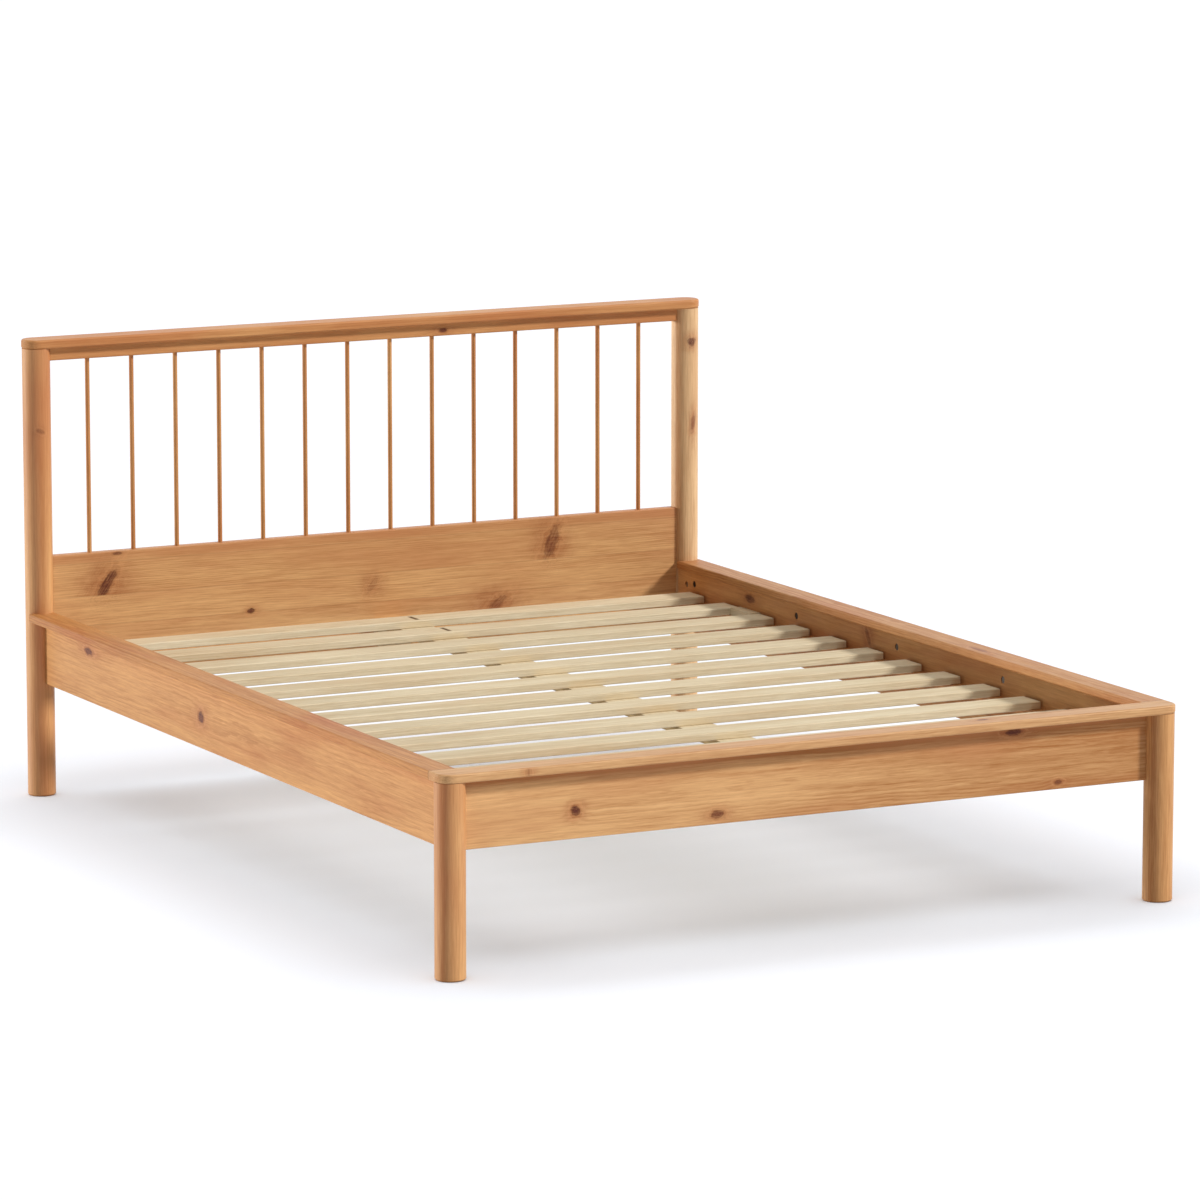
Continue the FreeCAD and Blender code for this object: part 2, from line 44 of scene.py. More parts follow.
class Part:
    """One socket of a material.  Sums and products of these become Math nodes."""

    def __init__(self, finish, socket):
        self.finish = finish
        self.socket = socket

    def maths(self, operation, *values):
        return self.finish.node("ShaderNodeMath", {"operation": operation}, dict(enumerate(values)))

    def __add__(self, other):
        return self.maths("ADD", self, other)

    def __radd__(self, other):
        return self.maths("ADD", other, self)

    def __sub__(self, other):
        return self.maths("SUBTRACT", self, other)

    def __rsub__(self, other):
        return self.maths("SUBTRACT", other, self)

    def __mul__(self, other):
        return self.maths("MULTIPLY", self, other)

    def __rmul__(self, other):
        return self.maths("MULTIPLY", other, self)

    def __truediv__(self, other):
        return self.maths("DIVIDE", self, other)

    def __rtruediv__(self, other):
        return self.maths("DIVIDE", other, self)

    def __pow__(self, other):
        return self.maths("POWER", self, other)

    def __rpow__(self, other):
        return self.maths("POWER", other, self)

    def __neg__(self):
        return self.maths("MULTIPLY", self, -1.0)

    def __gt__(self, other):
        return self.maths("GREATER_THAN", self, other)

    def __lt__(self, other):
        return self.maths("LESS_THAN", self, other)

    def root(self):
        return self.maths("SQRT", self)

    def part(self):
        return self.maths("FRACT", self)

    def size(self):
        return self.maths("ABSOLUTE", self)

    def most(self, other):
        return self.maths("MAXIMUM", self, other)

    def least(self, other):
        return self.maths("MINIMUM", self, other)

    def within(self, limit):
        """Kept between 0 and a limit."""
        return self.least(limit).most(0.0)

    def rise(self, low, high):
        """0 below low, 1 above high, smooth between; low may be above high."""
        settings = {"interpolation_type": "SMOOTHSTEP"}
        if low < high:
            return self.finish.node("ShaderNodeMapRange", settings,
                                    {"Value": self, "From Min": low, "From Max": high})
        return 1 - self.rise(high, low)

    def hill(self, width):
        """1 where this is 0, falling away like a bell over a width."""
        return math.e ** -((self / width) ** 2)


class Finish:
    """One material, built from its nodes."""

    def __init__(self, name):
        self.material = bpy.data.materials.new(name)
        self.material.use_nodes = True
        self.tree = self.material.node_tree
        self.tree.nodes.clear()

    def node(self, kind, settings, sockets, out=0):
        """Any node: its settings first, then a value or a link for each named socket."""
        made = self.tree.nodes.new(kind)
        for key, value in settings.items():
            setattr(made, key, value)
        for key, value in sockets.items():
            if isinstance(value, Part):
                self.tree.links.new(value.socket, made.inputs[key])
            else:
                made.inputs[key].default_value = value
        return Part(self, made.outputs[out])

    def along_axis(self, vector, axis):
        """One of the three numbers of a vector."""
        return self.node("ShaderNodeSeparateXYZ", {}, {0: vector}, axis)

    def place(self):
        """Where a point of the surface is, as three numbers."""
        where = self.node("ShaderNodeTexCoord", {}, {}, "Object")
        return [self.along_axis(where, axis) for axis in range(3)]

    def facing(self):
        """Which way the surface faces."""
        return self.node("ShaderNodeNewGeometry", {}, {}, "Normal")

    def point(self, x, y, z):
        return self.node("ShaderNodeCombineXYZ", {}, {0: x, 1: y, 2: z})

    def noise(self, point, detail=2.0, rough=0.5):
        """Soft noise about 0, one lump to each unit of the point."""
        sockets = {"Vector": point, "Scale": 1.0, "Detail": detail, "Roughness": rough}
        return self.node("ShaderNodeTexNoise", {}, sockets) - 0.5

    def mix(self, amount, first, second):
        sockets = {0: amount, 6: first, 7: second}
        return self.node("ShaderNodeMix", {"data_type": "RGBA", "blend_type": "MIX"}, sockets, 2)

    def bump(self, height, strength, distance):
        return self.node("ShaderNodeBump", {},
                         {"Strength": strength, "Distance": distance, "Height": height})

    def surface(self, shader):
        end = self.tree.nodes.new("ShaderNodeOutputMaterial")
        self.tree.links.new(shader.socket, end.inputs["Surface"])
        return self.material

    def coated(self, colour, rough, normal, constants):
        """The finished material; its constants go straight onto the shader's own sockets."""
        sockets = {"Base Color": colour, "Roughness": rough, "Normal": normal, **constants}
        return self.surface(self.node("ShaderNodeBsdfPrincipled", {}, sockets))


# ---------------------------------------------------------------- the pine
honey_light = tone(226, 173, 115)
honey_dark = tone(168, 110, 61)
honey_red = tone(186, 112, 66)
sapwood = tone(230, 190, 142)
knot_core = tone(88, 42, 32)
knot_rim = tone(78, 40, 26)
knot_halo = tone(158, 92, 52)
knot_lip = tone(224, 166, 112)
bare_light = tone(230, 215, 184)
bare_dark = tone(184, 160, 118)
bare_red = tone(208, 178, 140)
joint_shadow = tone(112, 70, 42)
# painted shade in the saw kerfs of two slats
kerf_shade_brown = tone(104, 78, 50)

ALONG_X, ALONG_Y, ALONG_Z = 0, 1, 2


class Depth:
    """How far each layer takes the wood from its light tone, at 0, to its dark one, at 1."""

    ground = 0.26
    rings = 0.24
    fibre = 0.75
    grain = 0.85
    streak = 0.60
    band = 0.42
    cloud = 0.50
    strip = 0.50
    # painted shade up one side of some posts
    painted_post_shade = 0.50
    limit = 1.3


class Blush:
    """How much each layer reddens the wood."""

    cloud = 1.5
    band = 0.7
    strip = 0.5
    # the dark top band: part red heartwood, part painted shade under a cap
    heartwood_and_shade = 0.4
    limit = 0.8


class Rings:
    """The year rings, about a heart that lies off the board."""

    spacing = 0.0046
    unevenness = 1.5                    # in ring spacings
    darkens = (0.20, 0.85)              # the share of a ring over which the wood darkens
    ends = (1.0, 0.88)                  # and the share over which it turns light again
    drift = 0.085                       # how far the rings wander along the board
    ripple = 0.007
    strip_step = 0.023                  # how far the heart jumps from strip to strip
    lean = 0.012                        # the most that the heart leans, to each metre
    off_across = 0.03                   # the most that the heart lies off the board's middle
    off_through = (0.055, 0.085)        # the least and most that it lies off the face


class KnotLook:
    """What all knots share.  Distances are in sizes of the knot."""

    unevenness = 1.3                    # how far the outline strays from an oval
    core = (1.25, 0.35)                 # where the core starts, and where it is full
    rim = (0.80, 0.20)                  # where the rim lies, and how wide it is
    lip = (1.75, 0.34)
    halo_along = 2.3
    halo_across = 1.7
    halo_unevenness = 0.9
    arcs_each = 2.3                     # growth arcs to each knot size
    arc_unevenness = 1.2
    arc_width = 0.28
    arc_reach = 0.9
    arc_depth = 0.30
    swell_reach = 2.2
    swell = 0.006                       # metres that the rings are pushed aside

    # how much the knot's own streaks show in each mark, and the mark's strength between them
    core_streaks = (2.0, 0.95)
    rim_streaks = (1.4, 0.45)
    halo_streaks = (0.9, 1.0)
    lip_streaks = (2.0, 0.5)

    # how far each mark stains the wood, how far by the grain in it, and the most
    halo_stain, halo_by_grain, halo_limit = 0.74, 1.1, 0.88
    core_stain, core_by_fibre, core_limit = 0.85, 0.9, 0.96
    lip_stain, lip_limit = 0.45, 0.60
    rim_limit = 0.75


class Line:
    """Thin dark lines: how wide they are, in metres, and how dark."""

    seam_width, seam_depth = 0.0009, 0.22
    butt_width = 0.0016
    # the kerf mark is painted shade
    kerf_depth = 0.85
    end_depth = 0.4                     # sawn ends are darker all over


class Rough:
    """How much each layer adds to the roughness."""

    rings = 0.05
    fibre = 0.14
    ends = 0.15


class Relief:
    """How much each layer raises or sinks the surface, in shares of the depth."""

    depth = 0.0004
    fibre = 0.7
    rings = 0.3
    knots = 0.3


class Lacquered:
    """Wood under a thin satin lacquer."""

    rough = 0.40
    relief = 0.12
    coat = 0.07
    coat_rough = 0.25
    specular = 0.14


class Planed:
    """Bare wood, as the plane left it."""

    rough = 0.62
    relief = 0.20
    specular = 0.15


class Knot:
    """A knot: where it lies along and across its board, its size, lean and darkness."""

    def __init__(self, along, across, length, width, lean=0.0, dark=1.0, halo=1.0, above=None):
        self.along = along
        self.across = across
        self.length = length
        self.width = width
        self.lean = math.radians(lean)
        self.dark = dark
        self.halo = halo
        self.above = above              # a glue line that cuts the knot off


class Board:
    """How one board was cut from its log, and what shows on it."""

    def __init__(self, along, tint=0.0, slope=0.0, knots=(), joints=(), painted_post_shade=None, bare=False,
                 butt=None, flat=False, edge=None, edge_depth=0.8, flank_shade=0.0, near=False,
                 pale=0.0, kerf=None, gloss=1.0, blush=0.0):
        self.along = along
        self.tint = tint                # above 0 is darker
        self.slope = slope              # how much darker it gets to each metre
        self.knots = knots
        self.joints = joints            # glue lines between the strips of a wide board
        self.painted_post_shade = painted_post_shade              # painted shade: a dark streak up one side of a post, at this azimuth in degrees
        self.bare = bare                # planed and left without lacquer
        self.butt = butt                # where its end meets the next board
        self.flat = flat                # its marks are placed across its other width
        self.edge = edge                # a dark band along its top: heartwood, deepened on the foot rail into painted shade under the cap; its height
        self.edge_depth = edge_depth    # how dark that band is
        self.flank_shade = flank_shade              # painted shade: how much darker its side faces are, under the slats
        self.near = near                # its knots show only on the side towards the foot
        self.pale = pale                # how much sapwood is in it
        self.kerf = kerf                # where a short saw kerf crosses it
        self.gloss = gloss              # how much more lacquer it has than the rest
        self.blush = blush              # how red it is all over

    def tones(self):
        """Its light, dark and red tones."""
        if self.bare:
            return bare_light, bare_dark, bare_red
        red_pale = self.pale * 0.7      # red wood takes less of the sapwood's tone
        return (blend(honey_light, sapwood, self.pale), honey_dark,
                blend(honey_red, sapwood, red_pale))

    def sheen(self):
        """The shine of its lacquer, or of planed wood."""
        if self.bare:
            return {"Coat Weight": 0.0, "Specular IOR Level": Planed.specular}
        return {"Coat Weight": Lacquered.coat * self.gloss, "Coat Roughness": Lacquered.coat_rough,
                "Specular IOR Level": Lacquered.specular * self.gloss}


def middle_of(node):
    low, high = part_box(node)
    return [(low[axis] + high[axis]) / 2 for axis in range(3)]


class Cut:
    """A point of a board, told along, across and through it, and the figure of the wood there."""

    def __init__(self, finish, name, board, luck):
        place = finish.place()
        middle = middle_of(name)
        first, second = [axis for axis in range(3) if axis != board.along]
        if board.flat:
            first, second = second, first
        self.finish = finish
        self.run, self.across, self.through = place[board.along], place[second], place[first]
        self.middle_across, self.middle_through = middle[second], middle[first]
        self.from_middle = (place[0] - middle[0], place[1] - middle[1])
        self.flank_axis = first
        self.shift = luck.uniform(0, 40)

        # every strip of a glued board comes from another log
        self.strip = 0.0
        for joint in board.joints:
            self.strip = self.strip + (self.across > joint)
        self.strip_tone = finish.noise(
            finish.point(0.0, self.strip * 2.7 + self.shift, 0.0), detail=0.0) * 0.5

        self.fibre = finish.noise(
            finish.point(self.run * 26, self.across * 620, self.through * 620), 3.0, 0.65)
        self.grain = self.figure(along=11, beside=270, detail=3.0, rough=0.60)
        self.streak = self.figure(along=3.6, beside=110, detail=4.0, rough=0.62)
        self.band = self.figure(along=0.8, beside=26, jump=3.1)
        self.cloud = self.figure(along=2.4, beside=9, jump=3.7, detail=3.0)

    def figure(self, along, beside, jump=0.0, detail=2.0, rough=0.5):
        """Noise with so many lumps to a metre along the grain and beside it; a jump parts the strips."""
        across = self.across * beside
        if jump:
            across = across + self.strip * jump
        spot = self.finish.point(self.run * along + self.shift, across, self.through * beside)
        return self.finish.noise(spot, detail, rough)

    def rings(self, luck, swell):
        """The late wood of each year ring: 1 on its dark line."""
        drift = self.figure(along=0.9, beside=3.0, jump=7.3) * Rings.drift
        ripple = self.figure(along=9.0, beside=40.0, jump=5.1, detail=3.0, rough=0.6) * Rings.ripple
        lean = luck.uniform(-Rings.lean, Rings.lean)
        off_across = luck.uniform(-Rings.off_across, Rings.off_across)
        off_through = luck.choice((-1, 1)) * luck.uniform(*Rings.off_through)
        from_across = (self.across - (self.middle_across + off_across) + self.run * lean + drift
                       + self.strip * Rings.strip_step)
        from_through = self.through - (self.middle_through + off_through)
        radius = (from_across ** 2 + from_through ** 2).root() + ripple
        uneven = self.finish.noise(self.finish.point(self.run * 0.5 + self.shift, 0.0, 0.0), 1.0)
        phase = ((radius + swell) / Rings.spacing + uneven * Rings.unevenness).part()
        return phase.rise(*Rings.darkens) * phase.rise(*Rings.ends)

    def painted_shade_streak(self, azimuth):
        """Painted shade: a dark streak up a post, on the side that an azimuth in degrees gives."""
        width, wander, fade = 0.0085, 0.012, 0.012
        way = math.radians(azimuth)
        x, y = self.from_middle
        side = x * math.sin(way) - y * math.cos(way)
        edge = x * math.cos(way) + y * math.sin(way) + self.band * wander
        return (edge / width).hill(1.0) * side.rise(0.0, fade)

    def heartwood_and_shade_edge(self, height):
        """1 above a height, with an uneven edge: heartwood, and painted shade where a cap overhangs."""
        wander, fray = 0.012, 0.006
        above = self.across - height + self.band * wander + self.streak * fray
        return above.rise(-0.008, 0.006)

    def kerf_shade(self, place):
        """Painted shade along a short saw kerf across the middle of a board."""
        half_width, clear_width = 0.0035, 0.0070
        half_length, clear_length = 0.020, 0.024
        beside_it = (self.run - place).size().rise(clear_width, half_width)
        along_it = (self.across - self.middle_across).size().rise(clear_length, half_length)
        return beside_it * along_it


class Marks:
    """What the knots of a board add: dark core, darker rim, reddish halo, pale lip and swell."""

    def __init__(self, cut, board):
        self.core, self.rim, self.halo, self.lip, self.swell = 0.0, 0.0, 0.0, 0.0, 0.0
        spot = cut.finish.point(cut.run * 45 + cut.shift, cut.across * 60, cut.through * 10)
        wobble = cut.finish.noise(spot, 3.0, 0.6)
        for knot in board.knots:
            self.add(knot, cut, wobble)
        if board.near:
            near = cut.through < cut.middle_through
            self.core, self.rim = self.core * near, self.rim * near
            self.halo, self.lip = self.halo * near, self.lip * near

    def add(self, knot, cut, wobble):
        look = KnotLook
        u = cut.run - knot.along
        v = cut.across - knot.across
        turn, rise = math.cos(knot.lean), math.sin(knot.lean)
        with_it = (u * turn + v * rise) / knot.length
        beside = (v * turn - u * rise) / knot.width
        away = (with_it ** 2 + beside ** 2).root() * (1 + wobble * look.unevenness)

        # a knot is a branch, with streaks of its own that run its way
        spot = cut.finish.point(with_it * 1.3 + cut.shift, beside * 3.6, cut.through * 20)
        own = cut.finish.noise(spot, 3.0, 0.6)

        def streaked(share, strength):
            return own * share + strength

        # the fibres flow round a knot, so its halo is longer along the grain
        reach_along = math.hypot(knot.length * turn, knot.width * rise) * look.halo_along
        reach_across = math.hypot(knot.length * rise, knot.width * turn) * look.halo_across
        around = (((u / reach_along) ** 2 + (v / reach_across) ** 2).root()
                  + wobble * look.halo_unevenness)

        mask = 1.0 if knot.above is None else cut.across > knot.above
        arcs = ((away * look.arcs_each + wobble * look.arc_unevenness).part().hill(look.arc_width)
                * around.hill(look.arc_reach))
        dark = away.rise(*look.core) * mask
        rim_at, rim_width = look.rim
        lip_at, lip_width = look.lip
        self.core = (self.core + dark * streaked(*look.core_streaks) * knot.dark
                     + arcs * (look.arc_depth * knot.halo))
        self.rim = (self.rim + (away - rim_at).hill(rim_width) * streaked(*look.rim_streaks)
                    * knot.dark * mask)
        self.halo = (self.halo + around.hill(1.0) * streaked(*look.halo_streaks)
                     * knot.halo * mask)
        self.lip = (self.lip + (away - lip_at).hill(lip_width)
                    * streaked(*look.lip_streaks).most(0.0) * knot.halo * mask)
        self.swell = self.swell + (away / look.swell_reach).hill(1.0) * (look.swell * knot.halo)


def stained(finish, wood, marks, cut):
    """Wood with its knots laid on: halo and lip first, then core and rim."""
    look = KnotLook
    halo = marks.halo * look.halo_stain + cut.grain * marks.halo * look.halo_by_grain
    core = marks.core * look.core_stain + cut.fibre * marks.core * look.core_by_fibre
    wood = finish.mix(halo.within(look.halo_limit), wood, knot_halo)
    wood = finish.mix((marks.lip * look.lip_stain).within(look.lip_limit), wood, knot_lip)
    wood = finish.mix(core.within(look.core_limit), wood, knot_core)
    return finish.mix(marks.rim.within(look.rim_limit), wood, knot_rim)


def pine(name, seed, board):
    """Pine with its rings, fibres, glue lines and knots, lacquered or bare."""
    luck = random.Random(seed)
    finish = Finish(name)
    cut = Cut(finish, name, board, luck)
    light, dark, red = board.tones()
    marks = Marks(cut, board)
    late = cut.rings(luck, marks.swell)
    clear = cut.figure(along=2.2, beside=14).rise(-0.2, 0.2)        # where the rings show
    facing = finish.facing()

    depth = (Depth.ground + board.tint + late * clear * Depth.rings + cut.fibre * Depth.fibre
             + cut.grain * Depth.grain + cut.streak * Depth.streak + cut.band * Depth.band
             + cut.cloud * Depth.cloud + cut.strip_tone * Depth.strip)
    if board.slope:
        depth = depth + cut.run * board.slope
    # painted shade: a dark streak up one side of a post
    if board.painted_post_shade is not None:
        depth = depth + cut.painted_shade_streak(board.painted_post_shade) * Depth.painted_post_shade
    # painted shade on the side faces, which lie in shadow under the slats
    if board.flank_shade:
        shaded_flank = finish.along_axis(facing, cut.flank_axis).size().rise(0.5, 0.9)
        depth = depth + shaded_flank * board.flank_shade
    # a dark band along the top: red heartwood, and on the foot rail painted shade under the cap as well
    heartwood_and_shade = 0.0
    if board.edge is not None:
        heartwood_and_shade = cut.heartwood_and_shade_edge(board.edge)
        depth = depth + heartwood_and_shade * board.edge_depth
    wood = finish.mix(depth.within(Depth.limit), light, dark)
    blush = (cut.cloud * Blush.cloud + cut.band * Blush.band + cut.strip_tone * Blush.strip
             + heartwood_and_shade * Blush.heartwood_and_shade)
    wood = finish.mix((blush + board.blush).within(Blush.limit), wood, red)

    if board.knots:
        wood = stained(finish, wood, marks, cut)
    if board.joints:
        seam = 0.0
        for joint in board.joints:
            seam = seam + (cut.across - joint).hill(Line.seam_width)
        wood = finish.mix(seam * Line.seam_depth, wood, joint_shadow)
    if board.butt is not None:
        wood = finish.mix((cut.run - board.butt).hill(Line.butt_width), wood, joint_shadow)
    # painted shade in the saw kerf
    if board.kerf is not None:
        wood = finish.mix(cut.kerf_shade(board.kerf) * Line.kerf_depth, wood, kerf_shade_brown)

    # sawn ends drink more of the finish
    end_grain = finish.along_axis(facing, board.along).size().rise(0.8, 0.98)
    wood = finish.mix(end_grain * Line.end_depth, wood, dark)

    skin = Planed if board.bare else Lacquered
    rough = skin.rough + late * Rough.rings + cut.fibre * Rough.fibre + end_grain * Rough.ends
    height = (cut.fibre * Relief.fibre - late * clear * Relief.rings
              - marks.core * Relief.knots)
    normal = finish.bump(height, skin.relief, Relief.depth)
    return finish.coated(wood, rough, normal, board.sheen())


# ---------------------------------------------------------------- metal and dowels
zinc_dull = tone(74, 66, 58)
zinc_worn = tone(48, 42, 38)
steel_bright = tone(196, 192, 184)
steel_worn = tone(158, 152, 142)
beech_pale = tone(222, 188, 148)
beech_brown = tone(196, 150, 108)
beech_fleck = tone(150, 104, 70)


def speckle(finish, across, up, detail):
    """Noise with so many lumps to a metre across a piece, and up it."""
    x, y, z = finish.place()
    return finish.noise(finish.point(x * across, y * across, z * up), detail)


def plain_metal(name, colour, scratch, rough):
    """A small fitting: fine turning marks and a little unevenness in colour."""
    finish = Finish(name)
    marks = speckle(finish, across=2600, up=2600, detail=2.0)
    blotch = speckle(finish, across=160, up=160, detail=3.0)
    skin = finish.mix((0.45 + blotch * 1.4 + marks * 0.4).within(1.0), colour, scratch)
    normal = finish.bump(marks, strength=0.15, distance=0.0002)
    return finish.coated(skin, rough + marks * 0.2, normal, {"Metallic": 1.0})


def beech(name):
    """Short dowels: close grain with small flecks."""
    finish = Finish(name)
    grain = speckle(finish, across=500, up=60, detail=3.0)
    fleck = speckle(finish, across=1400, up=420, detail=1.0).rise(0.12, 0.22)
    wood = finish.mix((0.5 + grain * 1.6).within(1.0), beech_pale, beech_brown)
    wood = finish.mix(fleck * 0.5, wood, beech_fleck)
    normal = finish.bump(grain, strength=0.15, distance=0.0003)
    return finish.coated(wood, 0.6 + grain * 0.2, normal, {})


# ---------------------------------------------------------------- which board is which
cap_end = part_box("side_cap_left")[0][1]
post_left_x = middle_of("head_post_left")[0]
post_right_x = middle_of("head_post_right")[0]
panel_joints = (0.300, 0.366, 0.430, 0.503)
upper_joint = panel_joints[2]
kerf_x = 0.0505
kerfed_slats = ("slat_01", "slat_02")

# a knot: along, across, length and width in metres, then lean in degrees, darkness and halo
panel_knots = (
    Knot(-0.640, 0.450, 0.040, 0.011, 56, 0.9, 1.0, above=upper_joint),
    Knot(-0.294, 0.369, 0.008, 0.006, 10, 1.0, 0.9),
    Knot(0.0, 0.403, 0.020, 0.007, 50, 0.15, 0.8),
    Knot(-0.612, 0.520, 0.012, 0.004, 0, 0.8, 0.5),
    Knot(0.444, 0.463, 0.038, 0.014, 66, 0.6, 1.0, above=upper_joint),
    Knot(0.306, 0.335, 0.032, 0.010, 40, 0.4, 1.0))
foot_rail_knots = (
    Knot(-0.522, 0.302, 0.009, 0.010, 0, 1.0, 1.2),
    Knot(-0.213, 0.267, 0.014, 0.008, 0, 0.7),
    Knot(0.451, 0.372, 0.018, 0.007),
    Knot(0.555, 0.262, 0.009, 0.005, 0, 0.7))
left_rail_knots = (
    Knot(0.747, 0.3587, 0.020, 0.007, 0, 1.0, 1.2),
    Knot(0.1535, 0.3136, 0.014, 0.012, 0, 1.0, 1.2))
right_rail_knots = (
    Knot(0.658, 0.366, 0.020, 0.009, 0, 0.9),
    Knot(0.124, 0.362, 0.020, 0.006, 60, 0.4))
right_cap_knots = (Knot(-0.320, 0.783, 0.030, 0.006, 0, 0.4, 1.0),)
foot_cap_knots = (
    Knot(0.3835, -1.0142, 0.012, 0.006, 0, 0.9, 0.9),
    Knot(-0.639, -1.057, 0.007, 0.004, 0, 0.6))
head_rail_knots = (Knot(0.178, 0.964, 0.010, 0.005),)
left_post_knots = (Knot(0.802, post_left_x - 0.004, 0.004, 0.009, 20, 0.35, 0.6),)
right_post_knots = (
    Knot(0.905, post_right_x, 0.009, 0.010, 0, 0.8),
    Knot(0.719, post_right_x + 0.006, 0.018, 0.006, 10, 0.35))

boards = {
    "head_panel": Board(ALONG_X, 0.07, slope=0.07, pale=0.3, blush=0.12, edge=0.506,
                        edge_depth=0.20, joints=panel_joints, knots=panel_knots),
    "head_cap": Board(ALONG_X, 0.10, flat=True, blush=0.40),
    "head_rail": Board(ALONG_X, blush=0.35, knots=head_rail_knots),
    "head_post_left": Board(ALONG_Z, -0.06, gloss=2.4, blush=0.35, flat=True, near=True,
                            knots=left_post_knots),
    # the dark streaks up the right head post and the foot legs are painted shade
    "head_post_right": Board(ALONG_Z, -0.12, gloss=1.8, pale=1.1, painted_post_shade=-60, flat=True, near=True,
                             knots=right_post_knots),
    "foot_leg_left": Board(ALONG_Z, 0.05, painted_post_shade=-50, gloss=2.2),
    "foot_leg_right": Board(ALONG_Z, 0.22, painted_post_shade=-58, gloss=1.6),
    "side_rail_left": Board(ALONG_Y, 0.26, pale=-0.2, knots=left_rail_knots),
    "side_rail_right": Board(ALONG_Y, 0.04, blush=0.25, knots=right_rail_knots),
    # its dark top band is a red heartwood streak, darkened further into painted shade under the foot cap
    "foot_rail": Board(ALONG_X, 0.19, slope=0.40, pale=0.35, edge=0.373, edge_depth=0.95,
                       knots=foot_rail_knots),
    "side_cap_left": Board(ALONG_Y, 0.42, pale=-0.5, flat=True, butt=cap_end),
    "side_cap_right": Board(ALONG_Y, 0.38, pale=0.1, flat=True, butt=cap_end,
                            knots=right_cap_knots),
    "foot_cap": Board(ALONG_X, 0.14, pale=0.7, flat=True, knots=foot_cap_knots),
    "ledger_left": Board(ALONG_Y, 0.70),
    "ledger_right": Board(ALONG_Y, 0.70),
    # the centre board's dark sides are painted shade under the slats
    "centre_board": Board(ALONG_Y, 0.05, bare=True, flank_shade=1.1),
    "centre_cleat_head": Board(ALONG_X, 0.10, bare=True),
    "centre_cleat_foot": Board(ALONG_X, 0.10, bare=True),
    "slat_spacer": Board(ALONG_Y, 0.20, bare=True),
}
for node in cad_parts:
    if node.startswith("spindle_"):
        boards[node] = Board(ALONG_Z, 0.24, blush=0.28)
    elif node.startswith("slat_") and node[5:].isdigit():
        kerf = kerf_x if node in kerfed_slats else None
        boards[node] = Board(ALONG_X, bare=True, flat=True, kerf=kerf)


def dress(node, material):
    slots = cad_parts[node].data.materials
    slots.clear()
    slots.append(material)


for seed, (node, board) in enumerate(sorted(boards.items())):
    dress(node, pine(node, seed, board))

zinc = plain_metal("zinc", zinc_dull, zinc_worn, rough=0.50)
steel = plain_metal("bright_steel", steel_bright, steel_worn, rough=0.34)
dress("cap_cams", zinc)
for node in ("cap_studs", "rail_bolts", "cross_nuts"):
    dress(node, steel)
for node in ("cap_dowels", "slat_pins"):
    dress(node, beech(node))


# ---------------------------------------------------------------- the stage, lights and camera
WHITE = (1, 1, 1, 1)
ROOM_LIGHT = 0.12                       # what the room adds from all round
FLOOR_GLOW = 0.12                       # lifts the shade under the bed a little
FLOOR_SHOWN = (0.768, 0.80, 0.855, 1)   # a little blue, against the wood's warm light on it
FLOOR_BOUNCE = (0.75, 0.75, 0.75, 1)
FLOOR_SIZE = 90
FLOOR_DROP = 0.0005                     # keeps the floor clear of the feet


def stage_floor():
    """A pale floor that keeps a light shadow."""
    bpy.ops.mesh.primitive_plane_add(size=FLOOR_SIZE, location=(0, 0, -FLOOR_DROP))
    piece = bpy.context.object
    piece.name = "floor"
    finish = Finish("floor_white")
    seen = finish.node("ShaderNodeLightPath", {}, {}, "Is Camera Ray")
    glow = finish.node("ShaderNodeEmission", {}, {"Color": WHITE, "Strength": FLOOR_GLOW})
    matt = finish.node("ShaderNodeBsdfDiffuse", {}, {"Color": FLOOR_SHOWN})
    shown = finish.node("ShaderNodeAddShader", {}, {0: glow, 1: matt})
    bounce = finish.node("ShaderNodeBsdfDiffuse", {}, {"Color": FLOOR_BOUNCE})
    both = finish.node("ShaderNodeMixShader", {}, {0: seen, 1: bounce, 2: shown})
    piece.data.materials.append(finish.surface(both))
    return piece


def sun(name, azimuth, height, strength, spread):
    """A lamp far away; azimuth 0 stands at the foot of the bed, 90 on its right."""
    data = bpy.data.lights.new(name, "SUN")
    data.energy = strength * math.pi
    data.angle = math.radians(spread)
    piece = bpy.data.objects.new(name, data)
    bpy.context.scene.collection.objects.link(piece)
    piece.rotation_euler = (math.radians(90 - height), 0, math.radians(azimuth))
    return piece


def reach(lamp, pieces, state):
    """Keeps a lamp to some pieces (INCLUDE) or off them (EXCLUDE)."""
    group = bpy.data.collections.new(lamp.name + "_reach")
    for piece in pieces:
        group.objects.link(piece)
    lamp.light_linking.receiver_collection = group
    for linked in group.collection_objects:
        linked.light_linking.link_state = state


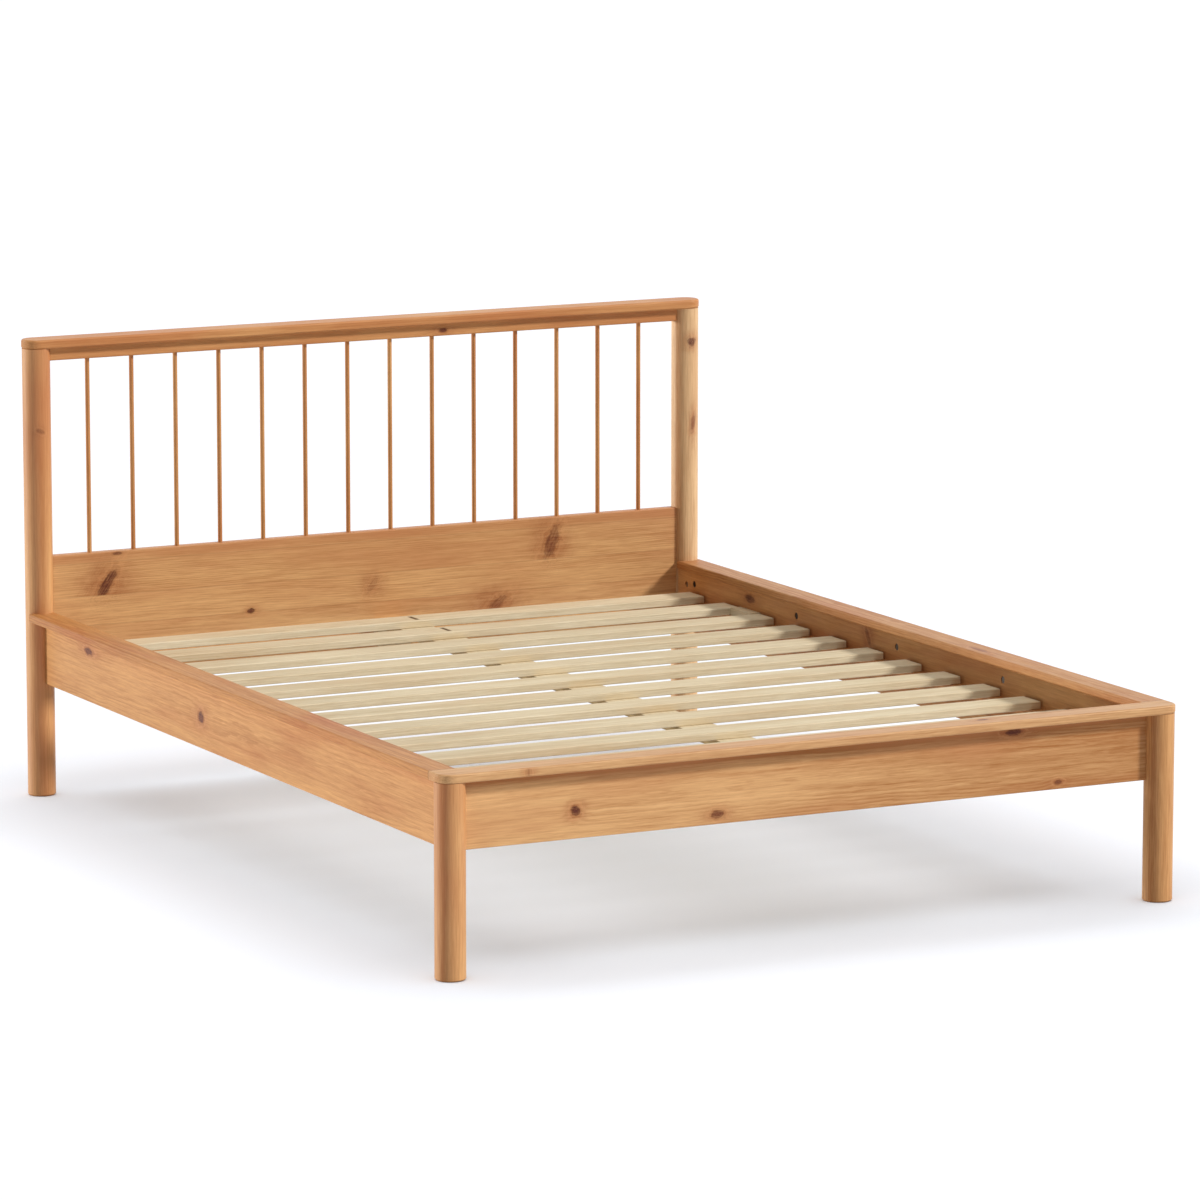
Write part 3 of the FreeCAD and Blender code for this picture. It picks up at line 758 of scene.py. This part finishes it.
def world_light():
    """A room that gives a dim light, and looks white to the camera, in glass and in gloss."""
    world = bpy.data.worlds.new("studio")
    bpy.context.scene.world = world
    world.use_nodes = True
    tree = world.node_tree
    tree.nodes.clear()
    paths = tree.nodes.new("ShaderNodeLightPath")

    def either(first, second):
        made = tree.nodes.new("ShaderNodeMath")
        made.operation = "MAXIMUM"
        tree.links.new(first, made.inputs[0])
        tree.links.new(second, made.inputs[1])
        return made.outputs[0]

    def background(strength):
        made = tree.nodes.new("ShaderNodeBackground")
        made.inputs["Color"].default_value = WHITE
        made.inputs["Strength"].default_value = strength
        return made.outputs[0]

    through = either(paths.outputs["Is Camera Ray"], paths.outputs["Is Transmission Ray"])
    mix = tree.nodes.new("ShaderNodeMixShader")
    tree.links.new(either(through, paths.outputs["Is Glossy Ray"]), mix.inputs[0])
    tree.links.new(background(ROOM_LIGHT), mix.inputs[1])
    tree.links.new(background(1.0), mix.inputs[2])
    out = tree.nodes.new("ShaderNodeOutputWorld")
    tree.links.new(mix.outputs[0], out.inputs[0])


def camera():
    """The photograph's angle, worked out from the two vanishing points of its long edges."""
    frame_pixels = 1200
    focal_pixels = 6592.2
    pitch, heading = 9.521, 27.114      # degrees down, and degrees round from the foot
    data = bpy.data.cameras.new("photo_camera")
    data.sensor_fit = "HORIZONTAL"
    data.sensor_width = 36.0
    data.lens = focal_pixels / frame_pixels * data.sensor_width
    data.clip_end = 200
    piece = bpy.data.objects.new("photo_camera", data)
    bpy.context.scene.collection.objects.link(piece)
    piece.location = (-6.136, -12.086, 2.794)
    piece.rotation_euler = (math.radians(90 - pitch), 0, math.radians(-heading))
    bpy.context.scene.camera = piece


floor = stage_floor()
world_light()
shaded_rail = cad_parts["side_rail_right"]
right_key = sun("right_key", azimuth=50, height=33, strength=0.92, spread=9)
back_left = sun("back_left", azimuth=-128, height=7, strength=0.80, spread=9)
top_soft = sun("top_soft", azimuth=0, height=89, strength=0.30, spread=50)
floor_top = sun("floor_top", azimuth=0, height=89, strength=1.06, spread=88)
reach(right_key, [floor], "EXCLUDE")
reach(back_left, [floor, shaded_rail], "EXCLUDE")
reach(top_soft, [floor], "EXCLUDE")
reach(floor_top, [floor], "INCLUDE")
camera()
bpy.context.scene.view_settings.view_transform = "Standard"
